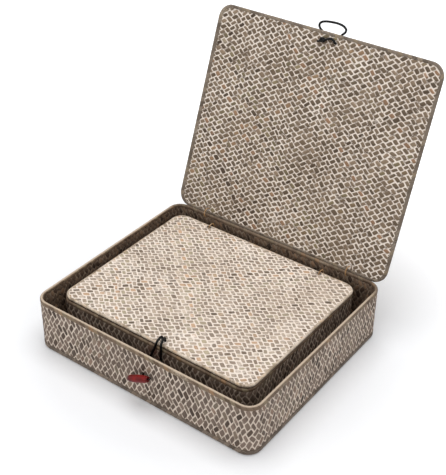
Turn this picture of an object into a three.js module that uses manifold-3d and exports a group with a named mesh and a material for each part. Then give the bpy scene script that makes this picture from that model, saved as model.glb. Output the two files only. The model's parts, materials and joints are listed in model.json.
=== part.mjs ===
// A nest of two plaited seagrass boxes with hinged lids, the smaller one standing inside the larger one.
// Millimetres. X runs along the front, Y to the back, Z up.
// The origin is the middle of the outer box's underside. The outer lid stands open, the inner lid is shut.

import * as THREE from 'three';
import { mergeVertices } from 'three/addons/utils/BufferGeometryUtils.js';
import Module from 'manifold-3d';

const wasm = await Module();
wasm.setup();

// Sizes that both boxes share

// A skin is one thin layer of strips, and a rim is a skin folded round a wire and the thicker mat's edge.
const skinThickness = 1.1;
const wireDiameter = 1.6;
const fitGap = 0.3;
const hemDepth = 7;
const matThickness = skinThickness + fitGap + wireDiameter;
const wallThickness = matThickness + fitGap + skinThickness;

// Every cut runs this far past the faces that it opens.
const cutOverrun = 1;

// A quarter circle of a corner has twice this many flats.
const cornerHalfFlats = 4;
const wireSides = 6;
const cordSides = 8;

// A lid is as wide as its tray and stops short of the front wall's face.
const lidSetback = 2;

// Two ties of twisted seagrass hold each lid, which turns about the back wall's top edge.
// A tie is a ring about that edge. It passes through the wall and the lid, and goes round both wires.
const tieRadius = 6.6;
const tieDiameter = 1.8;
const tieFlats = 24;

// The loop is round black elastic, and its ends come through two holes in the lid.
const elasticDiameter = 3.2;
const knotHalfWidth = 4.7;
const knotHalfDepth = 3.9;
const knotHalfHeight = 3;

// The toggle is a barrel bead on a thin cord, which runs through the bead and into one hole in the wall.
const beadLength = 35;
const beadRadius = 5;
const toggleCordDiameter = 1.2;
const toggleBendRadius = 2.4;
const beadEndClear = 1.4;
const toggleKnotRadius = 2.8;
const toggleKnotDepth = 4;

// Sizes of each box, and where its loop and toggle are

const outerBox = {
  name: 'outer',
  width: 350,
  depth: 300,
  height: 78,
  cornerRadius: 20,
  openAngle: 110.5,
  tieInset: 55,
  holeLeft: -2.5,
  holeRight: 16.8,
  holeBack: 12.2,
  toggleX: 10.4,
  toggleDrop: 32.8,
  toggleTilt: 25.5,
  beadStandoff: 8.9,
};

// The inner box stands on the outer floor, nearer its left and back walls, with its rim below the outer one.
const nestGapLeft = 11;
const nestGapRight = 25.2;
const nestGapBack = 10.4;
const nestGapFront = 27.8;
const nestRimDrop = 12.3;

const innerBox = {
  name: 'inner',
  width: outerBox.width - 2 * wallThickness - nestGapLeft - nestGapRight,
  depth: outerBox.depth - 2 * wallThickness - nestGapBack - nestGapFront,
  height: outerBox.height - wallThickness - fitGap - nestRimDrop,
  cornerRadius: 18,
  openAngle: 0,
  tieInset: 58.5,
  holeLeft: 12.7,
  holeRight: 17.2,
  holeBack: 9.8,
  toggleX: 12.6,
  toggleDrop: 21.5,
  toggleTilt: 12,
  beadStandoff: 10.4,
};

// Routes of the elastic, as points chosen by hand.
// Each point is along the lid's width, beyond its front edge, and above its outer face.

const outerLoopRoute = [
  [-2.5, -12.2, 1.1], [-2.5, -12.2, 1.8], [-2.9, -11.8, 3.9], [-4.1, -10.6, 5.6], [-5.8, -8.9, 6.3],
  [-9.2, -5.4, 6.6], [-13, -2, 6.6], [-16.6, 0.4, 6.5], [-19, 3.3, 6.5], [-19.2, 6.6, 6.4],
  [-16.9, 9.1, 6.4], [-12.3, 10.9, 6.3], [-6.2, 12, 6.3], [0.4, 12.6, 6.3], [7, 12.8, 6.3],
  [13.3, 12.1, 6.4], [18.3, 10.4, 6.5], [21.4, 7.6, 6.5], [21.1, 4.1, 6.5], [18.4, 1, 6.6],
  [16.1, -2.2, 6.6], [15.6, -5.6, 6.5], [16.1, -8.2, 6.2], [16.5, -10.2, 5.4], [16.7, -11.7, 3.8],
  [16.8, -12.2, 1.8], [16.8, -12.2, 1.1],
];

const innerLoopRoute = [
  [12.7, -9.8, 1.1], [12.7, -9.8, 1.7], [12.8, -9.2, 3.8], [13, -7.6, 5.2], [13.3, -5.2, 5.8],
  [13.8, -2.4, 5.9], [14.2, 0.4, 5.7], [14.3, 2.7, 4.4], [13.7, 3.8, 1.6], [12.3, 3.9, -3],
  [10.4, 3.9, -7.8], [8.3, 3.9, -12.6], [6.2, 3.9, -17.4], [4.5, 3.9, -21.8], [4.2, 3.9, -25.6],
  [6.3, 3.9, -29], [10, 3.9, -30.8], [14.4, 3.9, -30.9], [18.2, 3.9, -29], [20.3, 3.9, -25.6],
  [20.7, 3.9, -21], [20.9, 3.9, -16], [21.2, 3.9, -10.6], [21.6, 3.9, -5], [21.8, 3.9, 0],
  [21.5, 3.2, 3.2], [20.7, 1.1, 5.3], [19.5, -1.8, 5.9], [18.4, -5, 5.8], [17.7, -7.5, 5.2],
  [17.3, -9.2, 3.8], [17.2, -9.8, 1.7], [17.2, -9.8, 1.1],
];

// The elastic's stitch on the lid's inner face, from one hole to the other, measured the same way
const outerStitchRoute = [
  [-2.5, -12.2, 0.8], [-2.5, -12.2, -4.4], [-2.2, -12, -6.6], [-0.2, -11.6, -7.6], [3, -10.4, -7],
  [6.4, -8.4, -6.5], [10.4, -7.8, -6.5], [13.9, -9.1, -6.6], [16.2, -11.3, -6.6], [16.8, -12.2, -4.6],
  [16.8, -12.2, 0.8],
];

const innerStitchRoute = [
  [12.7, -9.8, 0.8], [12.7, -9.8, -4.6], [13.2, -9.8, -7], [14.95, -9.8, -8.4], [16.7, -9.8, -7],
  [17.2, -9.8, -4.6], [17.2, -9.8, 0.8],
];

// Finishes

const finishes = {
  mat: new THREE.MeshStandardMaterial({ color: 0x8f7f6b, roughness: 0.85, metalness: 0 }),
  lining: new THREE.MeshStandardMaterial({ color: 0x5c4a3e, roughness: 0.9, metalness: 0 }),
  panel: new THREE.MeshStandardMaterial({ color: 0x9c8c77, roughness: 0.85, metalness: 0 }),
  skin: new THREE.MeshStandardMaterial({ color: 0xc2ae98, roughness: 0.85, metalness: 0 }),
  wire: new THREE.MeshStandardMaterial({ color: 0x77787a, roughness: 0.4, metalness: 0.9 }),
  tie: new THREE.MeshStandardMaterial({ color: 0xa9835a, roughness: 0.8, metalness: 0 }),
  elastic: new THREE.MeshStandardMaterial({ color: 0x0b0b0c, roughness: 0.6, metalness: 0 }),
  bead: new THREE.MeshStandardMaterial({ color: 0x961c1a, roughness: 0.2, metalness: 0 }),
};

// Solids

function solidOf(geometry) {
  const bare = geometry.clone();
  bare.deleteAttribute('normal');
  bare.deleteAttribute('uv');
  const merged = mergeVertices(bare);
  const vertProperties = new Float32Array(merged.attributes.position.array);
  const triVerts = new Uint32Array(merged.index.array);
  return new wasm.Manifold(new wasm.Mesh({ numProp: 3, vertProperties, triVerts }));
}

function geometryOf(solid) {
  const mesh = solid.getMesh();
  const geometry = new THREE.BufferGeometry();
  geometry.setAttribute('position', new THREE.BufferAttribute(mesh.vertProperties, 3));
  geometry.setIndex(new THREE.BufferAttribute(mesh.triVerts, 1));
  return geometry;
}

function piece(name, geometry, material) {
  const mesh = new THREE.Mesh(geometry, material);
  mesh.name = name;
  return mesh;
}

// A flat block whose plan is the box's rounded rectangle, drawn in on all sides by the inset
function slab(plan, inset, bottom, top) {
  const radius = plan.radius - inset;
  const x = plan.width / 2 - inset - radius;
  const y = plan.depth / 2 - inset - radius;
  const turn = Math.PI / 2;
  const outline = new THREE.Shape();
  outline.absarc(x, y, radius, 0, turn);
  outline.absarc(-x, y, radius, turn, 2 * turn);
  outline.absarc(-x, -y, radius, 2 * turn, 3 * turn);
  outline.absarc(x, -y, radius, 3 * turn, 4 * turn);
  const geometry = new THREE.ExtrudeGeometry(outline, {
    depth: top - bottom,
    bevelEnabled: false,
    curveSegments: cornerHalfFlats,
  });
  geometry.translate(0, 0, bottom);
  return solidOf(geometry);
}

// A round cutter along Z
function borer(x, y, bottom, top, radius) {
  const geometry = new THREE.CylinderGeometry(radius, radius, top - bottom, cordSides);
  geometry.rotateX(Math.PI / 2);
  geometry.translate(x, y, (top + bottom) / 2);
  return solidOf(geometry);
}

// A path through chosen stations, which keeps every one of them
class StationPath extends THREE.Curve {
  constructor(stations) {
    super();
    this.stations = stations;
  }

  getPoint(share) {
    const last = this.stations.length - 1;
    const before = Math.min(Math.floor(share * last), last - 1);
    return this.stations[before].clone().lerp(this.stations[before + 1], share * last - before);
  }

  getPointAt(share) {
    return this.getPoint(share);
  }

  getTangentAt(share) {
    const last = this.stations.length - 1;
    const here = Math.round(share * last);
    const behind = this.stations[Math.max(here - 1, 0)];
    const ahead = this.stations[Math.min(here + 1, last)];
    return ahead.clone().sub(behind).normalize();
  }
}

function roundSection(diameter, sides) {
  const section = new THREE.Shape();
  for (let side = 0; side < sides; side += 1) {
    const angle = (2 * Math.PI * side) / sides;
    const x = (diameter / 2) * Math.cos(angle);
    const y = (diameter / 2) * Math.sin(angle);
    if (side === 0) section.moveTo(x, y);
    else section.lineTo(x, y);
  }
  section.closePath();
  return section;
}

function tube(path, diameter, sides, steps) {
  return new THREE.ExtrudeGeometry(roundSection(diameter, sides), {
    extrudePath: path,
    steps,
    bevelEnabled: false,
  });
}

// Steel wire bent to the box's plan, with its two ends meeting in the middle of the back
function wireRing(plan, inset, level) {
  const radius = plan.radius - inset;
  const x = plan.width / 2 - inset - radius;
  const y = plan.depth / 2 - inset - radius;
  const corners = [[-x, y], [-x, -y], [x, -y], [x, y]];
  const flats = 2 * cornerHalfFlats;
  const stations = [new THREE.Vector3(-fitGap / 2, y + radius, level)];
  corners.forEach(([cornerX, cornerY], corner) => {
    for (let flat = 0; flat <= flats; flat += 1) {
      const angle = (Math.PI / 2) * (1 + corner + flat / flats);
      const reachX = cornerX + radius * Math.cos(angle);
      const reachY = cornerY + radius * Math.sin(angle);
      stations.push(new THREE.Vector3(reachX, reachY, level));
    }
  });
  stations.push(new THREE.Vector3(fitGap / 2, y + radius, level));
  return tube(new StationPath(stations), wireDiameter, wireSides, stations.length - 1);
}

// The tray

// The outside mat makes the base and walls. Its top edge is thinner, where the hem closes over it.
function trayMat(box, plan, holes) {
  const hemFoot = box.height - hemDepth - fitGap;
  const tongueInset = skinThickness + fitGap;
  const tongueTop = box.height - skinThickness - 2 * fitGap - wireDiameter;
  return slab(plan, 0, 0, hemFoot)
    .add(slab(plan, tongueInset, 0, tongueTop))
    .subtract(slab(plan, matThickness, matThickness, box.height + cutOverrun))
    .subtract(holes);
}

// The lining covers the floor and walls inside, turns over the rim wire and ends outside as the hem.
function trayLining(box, plan, holes) {
  const bottom = matThickness + fitGap;
  const liningInset = matThickness + fitGap;
  const hem = slab(plan, 0, box.height - hemDepth, box.height)
    .subtract(slab(plan, skinThickness, 0, box.height - skinThickness));
  return slab(plan, liningInset, bottom, box.height)
    .add(hem)
    .subtract(slab(plan, wallThickness, bottom + skinThickness, box.height + cutOverrun))
    .subtract(holes);
}

// The lid, drawn shut, with its underside at zero

// The outer skin covers the top and folds round the wire to a lip on the underside.
function lidSkin(plan, holes) {
  return slab(plan, 0, 0, wallThickness)
    .subtract(slab(plan, skinThickness, skinThickness, wallThickness - skinThickness))
    .subtract(slab(plan, hemDepth, -cutOverrun, wallThickness / 2))
    .subtract(holes);
}

// The inner panel fills the lip's opening, and its thinner edge reaches under the wire's fold.
function lidPanel(plan, holes) {
  const top = wallThickness - skinThickness - fitGap;
  const edgeInset = skinThickness + 2 * fitGap + wireDiameter;
  return slab(plan, hemDepth + fitGap, 0, top)
    .add(slab(plan, edgeInset, skinThickness + fitGap, top))
    .subtract(holes);
}

// The hinge ties

function tieRing(thickness) {
  const geometry = new THREE.TorusGeometry(tieRadius, thickness / 2, cordSides, tieFlats);
  geometry.rotateY(Math.PI / 2);
  return geometry;
}

function tieX(box) {
  return box.width / 2 - box.tieInset;
}

// The holes that both ties pass through, cut by thicker rings about the hinge line at the given place
function tieHoles(box, hingeY, hingeZ) {
  const cutter = (x) => solidOf(tieRing(tieDiameter + 2 * fitGap)).translate([x, hingeY, hingeZ]);
  return cutter(-tieX(box)).add(cutter(tieX(box)));
}

// The elastic loop

function elasticPath(route, edgeY, faceZ) {
  const points = route.map(([x, beyond, above]) => new THREE.Vector3(x, edgeY - beyond, faceZ + above));
  return new THREE.CatmullRomCurve3(points);
}

function elastic(route, edgeY, faceZ) {
  const path = elasticPath(route, edgeY, faceZ);
  const steps = Math.round(path.getLength() / elasticDiameter);
  return tube(path, elasticDiameter, cordSides, steps);
}

// The stitch that holds the loop, with the knot drawn up against the lid's inner face
function elasticKnot(box, route, edgeY, faceZ) {
  const path = elasticPath(route, edgeY, faceZ);
  const steps = Math.round(path.getLength() / elasticDiameter);
  const stitch = solidOf(tube(path, elasticDiameter, cordSides, steps));
  const lump = new THREE.SphereGeometry(1, 2 * cordSides, cordSides);
  lump.scale(knotHalfWidth, knotHalfDepth, knotHalfHeight);
  const lumpZ = faceZ - wallThickness - fitGap - knotHalfHeight;
  lump.translate(box.holeLeft, edgeY + box.holeBack, lumpZ);
  return geometryOf(stitch.add(solidOf(lump)));
}

// The toggle, drawn with the hole's mouth on the wall's face at zero, X along the bead and Y into the wall

// Shares of half the bead's length, and of its greatest radius there
const beadProfileShares = [[0, 1], [0.4, 0.98], [0.7, 0.91], [0.88, 0.8], [0.97, 0.66], [1, 0.5]];

function bead(box) {
  const boreRadius = toggleCordDiameter / 2 + fitGap;
  const right = beadProfileShares.map(([along, out]) => [(along * beadLength) / 2, out * beadRadius]);
  const left = right.slice(1).reverse().map(([along, out]) => [-along, out]);
  const outside = [...left, ...right].map(([along, out]) => new THREE.Vector2(out, along));
  const end = beadLength / 2;
  const inside = [new THREE.Vector2(boreRadius, end), new THREE.Vector2(boreRadius, -end)];
  const profile = [...outside, ...inside, outside[0]];
  const geometry = new THREE.LatheGeometry(profile, 2 * cordSides);
  geometry.rotateZ(-Math.PI / 2);
  geometry.translate(0, -box.beadStandoff, 0);
  return geometryOf(solidOf(geometry));
}

// The cord comes out of the hole, passes behind the bead to one end, runs through it and comes back.
function toggleCord(box) {
  const strand = (toggleCordDiameter + fitGap) / 2;
  const back = box.beadStandoff - beadRadius - fitGap - toggleCordDiameter / 2;
  const end = beadLength / 2 + beadEndClear;
  const shoulder = strand + toggleBendRadius;
  const half = [
    [strand, -wallThickness],
    [strand, 0],
    [strand, back - toggleBendRadius],
    [strand + 0.3 * toggleBendRadius, back - 0.3 * toggleBendRadius],
    [shoulder, back],
    [0.45 * beadLength, back + 0.25 * beadRadius],
    [end, back + 0.6 * beadRadius],
    [end + 0.8 * toggleBendRadius, box.beadStandoff - 0.4 * toggleBendRadius],
    [end, box.beadStandoff],
    [0.4 * beadLength, box.beadStandoff],
    [0.2 * beadLength, box.beadStandoff],
  ];
  const there = half.map(([x, out]) => new THREE.Vector3(-x, -out, 0));
  const middle = new THREE.Vector3(0, -box.beadStandoff, 0);
  const backAgain = half.slice().reverse().map(([x, out]) => new THREE.Vector3(x, -out, 0));
  const path = new THREE.CatmullRomCurve3([...there, middle, ...backAgain], false, 'centripetal');
  const steps = Math.round(path.getLength() / (2 * toggleCordDiameter));
  return tube(path, toggleCordDiameter, cordSides, steps);
}

// Shares of the knot's depth, and of its radius there
const toggleKnotShares = [[0, 0.7], [0.25, 1], [0.7, 0.9], [1, 0.45]];

function toggleKnot() {
  const rings = toggleKnotShares.map(([deep, out]) => (
    new THREE.Vector2(out * toggleKnotRadius, deep * toggleKnotDepth)
  ));
  const profile = [new THREE.Vector2(0, 0), ...rings, new THREE.Vector2(0, toggleKnotDepth)];
  const geometry = new THREE.LatheGeometry(profile, cordSides);
  geometry.translate(0, wallThickness + fitGap, 0);
  return geometryOf(solidOf(geometry));
}

// One box, standing on its own underside, with its lid turned to its angle

function buildBox(box, loopRoute, stitchRoute) {
  const assembly = new THREE.Group();
  const named = (name, geometry, material) => piece(`${box.name}_${name}`, geometry, material);

  const trayPlan = { width: box.width, depth: box.depth, radius: box.cornerRadius };
  const toggleZ = box.height - box.toggleDrop;
  const holeRadius = toggleCordDiameter + 2 * fitGap;
  const wallHole = borer(box.toggleX, 0, -cutOverrun, wallThickness + cutOverrun, holeRadius)
    .rotate([-90, 0, 0])
    .translate([0, -box.depth / 2, toggleZ]);
  const trayHoles = wallHole.add(tieHoles(box, box.depth / 2, box.height));
  const tray = new THREE.Group();
  tray.add(named('tray_mat', geometryOf(trayMat(box, trayPlan, trayHoles)), finishes.mat));
  tray.add(named('tray_lining', geometryOf(trayLining(box, trayPlan, trayHoles)), finishes.lining));
  const rimWireLevel = box.height - skinThickness - fitGap - wireDiameter / 2;
  const wireInset = skinThickness + fitGap + wireDiameter / 2;
  tray.add(named('rim_wire', wireRing(trayPlan, wireInset, rimWireLevel), finishes.wire));

  const leftTie = named('hinge_tie_left', tieRing(tieDiameter), finishes.tie);
  leftTie.position.set(-tieX(box), box.depth / 2, box.height);
  const rightTie = named('hinge_tie_right', tieRing(tieDiameter), finishes.tie);
  rightTie.position.set(tieX(box), box.depth / 2, box.height);
  tray.add(leftTie, rightTie);
  assembly.add(tray);

  // The lid's own frame has its origin on the hinge line, with the lid drawn shut in front of it.
  const lid = new THREE.Group();
  lid.position.set(0, box.depth / 2, box.height);
  lid.rotation.x = -THREE.MathUtils.degToRad(box.openAngle);
  const lidDepth = box.depth - lidSetback;
  const lidPlan = { width: box.width, depth: lidDepth, radius: box.cornerRadius };
  const lidMiddle = -lidDepth / 2;
  const edgeY = -lidDepth;
  const faceZ = fitGap + wallThickness;
  const lidHoleRadius = elasticDiameter / 2 + fitGap;
  const lidHoleY = edgeY + box.holeBack - lidMiddle;
  const lidHole = (x) => borer(x, lidHoleY, -cutOverrun, wallThickness + cutOverrun, lidHoleRadius);
  const lidHoles = lidHole(box.holeLeft)
    .add(lidHole(box.holeRight))
    .add(tieHoles(box, -lidMiddle, -fitGap));
  const shell = new THREE.Group();
  shell.position.set(0, lidMiddle, fitGap);
  shell.add(named('lid_skin', geometryOf(lidSkin(lidPlan, lidHoles)), finishes.skin));
  shell.add(named('lid_panel', geometryOf(lidPanel(lidPlan, lidHoles)), finishes.panel));
  shell.add(named('lid_wire', wireRing(lidPlan, wireInset, wallThickness / 2), finishes.wire));
  lid.add(shell);

  lid.add(named('loop', elastic(loopRoute, edgeY, faceZ), finishes.elastic));
  lid.add(named('loop_knot', elasticKnot(box, stitchRoute, edgeY, faceZ), finishes.elastic));
  assembly.add(lid);

  const toggle = new THREE.Group();
  toggle.position.set(box.toggleX, -box.depth / 2, toggleZ);
  toggle.rotation.y = -THREE.MathUtils.degToRad(box.toggleTilt);
  toggle.add(named('toggle_bead', bead(box), finishes.bead));
  toggle.add(named('toggle_cord', toggleCord(box), finishes.elastic));
  toggle.add(named('toggle_knot', toggleKnot(), finishes.elastic));
  assembly.add(toggle);
  return assembly;
}

const nest = new THREE.Group();
nest.add(buildBox(outerBox, outerLoopRoute, outerStitchRoute));

const inner = buildBox(innerBox, innerLoopRoute, innerStitchRoute);
inner.position.set(
  (innerBox.width - outerBox.width) / 2 + wallThickness + nestGapLeft,
  (outerBox.depth - innerBox.depth) / 2 - wallThickness - nestGapBack,
  wallThickness + fitGap,
);
nest.add(inner);

export default nest;
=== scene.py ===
# A nest of two plaited seagrass boxes. The large box stands open with the small one, shut, inside it.
# Metres. X runs along the front to the right, Y to the back and Z up, from the middle of the underside.

import json
import math

import bpy
import numpy as np
from mathutils import Matrix, Quaternion, Vector


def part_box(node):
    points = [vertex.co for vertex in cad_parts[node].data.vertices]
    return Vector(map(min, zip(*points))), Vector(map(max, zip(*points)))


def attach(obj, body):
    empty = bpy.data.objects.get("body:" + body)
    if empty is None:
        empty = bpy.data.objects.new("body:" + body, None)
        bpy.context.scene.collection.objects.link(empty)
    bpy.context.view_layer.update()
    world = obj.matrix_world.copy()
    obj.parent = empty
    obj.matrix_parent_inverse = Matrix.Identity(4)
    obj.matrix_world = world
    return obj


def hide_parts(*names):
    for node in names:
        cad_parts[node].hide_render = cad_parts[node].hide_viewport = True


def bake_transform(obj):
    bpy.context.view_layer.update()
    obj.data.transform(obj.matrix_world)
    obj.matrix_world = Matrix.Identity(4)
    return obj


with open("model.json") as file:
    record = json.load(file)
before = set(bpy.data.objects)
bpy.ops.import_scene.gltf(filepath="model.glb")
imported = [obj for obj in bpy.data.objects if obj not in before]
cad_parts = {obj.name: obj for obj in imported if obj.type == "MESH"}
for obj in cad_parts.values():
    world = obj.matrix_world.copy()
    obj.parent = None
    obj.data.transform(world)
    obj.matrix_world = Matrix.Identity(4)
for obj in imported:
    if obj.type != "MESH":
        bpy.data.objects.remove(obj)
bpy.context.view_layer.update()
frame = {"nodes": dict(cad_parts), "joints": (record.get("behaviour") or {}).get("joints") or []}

# The camera
# It looks down on the open box from the front right, with a long lens held a little off level.

camera_place, camera_aim = (0.63098, -0.83442, 0.87479), (-0.06204, 0.11125, 0.078)
camera_roll = math.radians(0.703)


def put_aimed(name, data, place, aim, roll=0.0):
    """A camera or a lamp at its place, turned to what it is aimed at."""
    made = bpy.data.objects.new(name, data)
    made.location = place
    made.rotation_mode = "QUATERNION"
    level_look = (Vector(aim) - Vector(place)).to_track_quat("-Z", "Y")
    made.rotation_quaternion = level_look @ Quaternion((0, 0, 1), roll)
    bpy.context.scene.collection.objects.link(made)
    return made


camera_data = bpy.data.cameras.new("camera")
camera_data.lens = 75.74
camera_data.sensor_width = 36
camera_data.clip_start = 0.05
camera_data.clip_end = 20
bpy.context.scene.camera = put_aimed("camera", camera_data, camera_place, camera_aim, camera_roll)

# The elastic loops
# Each lid is held shut by a loop of round black elastic with a braided cover.
# Its two ends pass through the lid near the front edge and are knotted on the inner face.

BOXES = ("outer", "inner")
elastic_diameter = 0.0032
thread_pitch, threads_round = 0.0016, 8.0
lid_lift, lid_thickness = 0.0003, 0.0044
face_level = lid_lift + lid_thickness
lid_depth = {"outer": 0.298, "inner": 0.251}
hinges = {joint["child"].split("_")[0]: joint for joint in frame["joints"] if joint["name"].endswith("lid_hinge")}


def lid_frame(box):
    """The axes and the place of the lid's own frame, in which the lid lies shut in front of its hinge line."""
    turn = Matrix.Rotation(math.radians(hinges[box]["range_deg"][0]), 4, "X")
    there = np.array(Matrix.Translation(hinges[box]["pos_m"]) @ turn)
    return there[:3, :3].T, there[:3, 3]


def put_on_lid(box, points):
    """Points in the lid's own frame, moved to where the lid is."""
    axes, place = lid_frame(box)
    return np.asarray(points) @ axes + place


def smooth_line(stations, between):
    """A line through every station, with the spacing of the stations taken into account."""
    line = np.asarray(stations, float)
    ends = np.vstack([2 * line[0] - line[1], line, 2 * line[-1] - line[-2]])
    knots = np.concatenate([[0], np.cumsum(np.sqrt(np.linalg.norm(np.diff(ends, axis=0), axis=1)))])
    made = []
    for i in range(1, len(ends) - 2):
        k = knots[i - 1:i + 3]
        t = np.linspace(k[1], k[2], between, endpoint=False)[:, None]

        def between_two(pair, low, high):
            return ((k[high] - t) * pair[0] + (t - k[low]) * pair[1]) / (k[high] - k[low])

        by_ones = [between_two(ends[i - 1 + j:], j, j + 1) for j in range(3)]
        by_twos = [between_two(by_ones[j:], j, j + 2) for j in range(2)]
        made.append(between_two(by_twos, 1, 2))
    return np.vstack(made + [line[-1:]])


def carried_frames(line):
    """A tangent and two cross directions at each point of a line, carried along it without twist."""
    tangents = np.gradient(line, axis=0)
    tangents /= np.linalg.norm(tangents, axis=1)[:, None]
    side = np.cross(tangents[0], [0.31, 0.17, 0.93])
    sides = []
    for tangent in tangents:
        side = side - tangent * (side @ tangent)
        side /= np.linalg.norm(side)
        sides.append(side)
    return tangents, np.array(sides), np.cross(tangents, sides)


def grid_faces(rows, columns, closed_columns=False):
    """The quads of a grid of points, which may be closed to a tube."""
    row, column = np.meshgrid(np.arange(rows - 1), np.arange(columns - (not closed_columns)), indexing="ij")
    here = row * columns + column
    beside = row * columns + (column + 1) % columns
    return np.stack([here, beside, beside + columns, here + columns], -1).reshape(-1, 4)


def make_mesh(name, points, faces, values):
    """A mesh object from arrays of points and of quads or triangles, with one value per point in each layer."""
    mesh = bpy.data.meshes.new(name)
    mesh.vertices.add(len(points))
    mesh.vertices.foreach_set("co", np.asarray(points, np.float32).ravel())
    sizes = np.concatenate([np.full(len(f), f.shape[1]) for f in faces])
    corners = np.concatenate([f.ravel() for f in faces]).astype(np.int32)
    mesh.loops.add(len(corners))
    mesh.loops.foreach_set("vertex_index", corners)
    mesh.polygons.add(len(sizes))
    mesh.polygons.foreach_set("loop_start", np.concatenate([[0], np.cumsum(sizes)[:-1]]).astype(np.int32))
    mesh.polygons.foreach_set("use_smooth", np.ones(len(sizes), bool))
    for layer, value in values.items():
        value = np.asarray(value, np.float32)
        kind, field = ("FLOAT_VECTOR", "vector") if value.ndim == 2 else ("FLOAT", "value")
        mesh.attributes.new(layer, kind, "POINT").data.foreach_set(field, value.ravel())
    mesh.update(calc_edges=True)
    mesh.validate()
    made = bpy.data.objects.new(name, mesh)
    bpy.context.scene.collection.objects.link(made)
    return made


def make_cord(name, line, diameter, sides):
    """A round cord along a line of points, with its length and its turn kept as values for the cover's pattern."""
    tangents, first, second = carried_frames(line)
    angles = np.linspace(0, 2 * math.pi, sides, endpoint=False)
    round_it = np.cos(angles)[None, :, None] * first[:, None] + np.sin(angles)[None, :, None] * second[:, None]
    points = (line[:, None] + diameter / 2 * round_it).reshape(-1, 3)
    along = np.concatenate([[0], np.cumsum(np.linalg.norm(np.diff(line, axis=0), axis=1))])
    cover = np.stack([np.repeat(along, sides), np.tile(angles / (2 * math.pi), len(line)), np.zeros(len(points))], -1)
    crown = diameter / 5
    points = np.vstack([points, line[0] - tangents[0] * crown, line[-1] + tangents[-1] * crown])
    cover = np.vstack([cover, [0, 0, 0], [along[-1], 0, 0]])
    here = np.arange(sides)
    beside = (here + 1) % sides
    last = (len(line) - 1) * sides
    near_end = np.stack([beside, here, np.full(sides, len(points) - 2)], -1)
    far_end = np.stack([last + here, last + beside, np.full(sides, len(points) - 1)], -1)
    faces = [grid_faces(len(line), sides, closed_columns=True), near_end, far_end]
    return make_mesh(name, points, faces, {"cover": cover}), along[-1]


def shade(red, green, blue):
    """A colour as it is read off a screen, from 0 to 255, turned into a shader's colour."""
    share = np.array([red, green, blue]) / 255
    return (*np.where(share <= 0.04045, share / 12.92, ((share + 0.055) / 1.055) ** 2.4), 1)


class Nodes:
    """The nodes that colour one thing, and the ways in which they are joined."""

    def __init__(self, tree):
        self.tree = tree

    def node(self, kind, sockets=None, **settings):
        """A new node's outputs. Its settings are set, and its sockets are set or linked."""
        made = self.tree.nodes.new(f"ShaderNode{kind}")
        for setting, value in settings.items():
            setattr(made, setting, value)
        for socket, value in (sockets or {}).items():
            if isinstance(value, bpy.types.NodeSocket):
                self.tree.links.new(value, made.inputs[socket])
            else:
                made.inputs[socket].default_value = value
        return made.outputs

    def math(self, operation, first, second=0.0, third=0.0):
        return self.node("Math", {0: first, 1: second, 2: third}, operation=operation)[0]

    def total(self, first, *weighed):
        """A value and others, each times its weight, added up."""
        for value, weight in weighed:
            first = self.math("MULTIPLY_ADD", value, weight, first)
        return first

    def spread(self, value, low, high, to_low=0.0, to_high=1.0):
        """A value's range stretched to another range, and held to it."""
        return self.node("MapRange", {0: value, 1: low, 2: high, 3: to_low, 4: to_high})[0]


class Finish(Nodes):
    """A material with one principled shader, whose plain values are set on its own sockets."""

    def __init__(self, name, **plain_values):
        self.material = bpy.data.materials.new(name)
        self.material.use_nodes = True
        super().__init__(self.material.node_tree)
        self.shader = self.tree.nodes["Principled BSDF"]
        for socket, value in plain_values.items():
            self.shader.inputs[socket.replace("_", " ")].default_value = value
        self.place = self.node("TexCoord")["Object"]

    def layer(self, name, output="Fac"):
        """A value that the mesh keeps at each point."""
        return self.node("Attribute", attribute_name=name)[output]

    def noise(self, scale, detail, place=None):
        return self.node("TexNoise", {"Vector": place or self.place, "Scale": scale, "Detail": detail})[0]

    def fibres(self, lie, pull, detail=3.0):
        """Fine streaks along a strip: a noise drawn out along it."""
        return self.noise(1.0, detail, self.node(
            "VectorMath", {0: self.layer(lie, "Vector"), 1: pull}, operation="MULTIPLY")[0])

    def blended(self, share, first, second, way="MIX"):
        """Two colours blended by a share."""
        return self.node("Mix", {0: share, 6: first, 7: second}, data_type="RGBA", blend_type=way)[2]

    def lit(self, colour, light):
        """A colour made darker or lighter by a value."""
        return self.blended(1.0, colour, self.node("CombineColor", {i: light for i in range(3)})[0], "MULTIPLY")

    def row(self, share, stops):
        """A row of colours, each from its place on."""
        made = self.node("ValToRGB", {0: share})[0]
        row = made.node.color_ramp.elements
        for place, *_ in stops[2:]:
            row.new(place)
        for element, (place, *colour) in zip(row, stops):
            element.position = place
            element.color = shade(*colour)
        return made

    def wear(self, colour, roughness=None, relief=None, deep=0.0, strength=0.7):
        """Gives the shader its colour, its roughness and its fine relief."""
        bump = relief and self.node("Bump", {"Height": relief, "Distance": deep, "Strength": strength})[0]
        for socket, value in (("Base Color", colour), ("Roughness", roughness), ("Normal", bump)):
            if value:
                self.tree.links.new(value, self.shader.inputs[socket])
        return self.material


def braided_elastic():
    """A tight braid of black threads round a rubber core."""
    finish = Finish("braided_black_elastic", Specular_IOR_Level=0.2)
    cover = finish.node("SeparateXYZ", {0: finish.layer("cover", "Vector")})
    lengthwise = finish.math("MULTIPLY", cover[0], 1 / thread_pitch)
    round_it = finish.math("MULTIPLY", cover[1], threads_round)
    one_way, other_way = (
        finish.math("PINGPONG", finish.math(way, lengthwise, round_it), 0.5) for way in ("ADD", "SUBTRACT"))
    braid = finish.math("MAXIMUM", one_way, other_way)
    colour = finish.blended(braid, shade(3, 3, 3), shade(15, 15, 16))
    return finish.wear(colour, finish.math("MULTIPLY_ADD", braid, 0.2, 0.5), braid, 0.00015, 0.8)


elastic_finish = braided_elastic()

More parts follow.
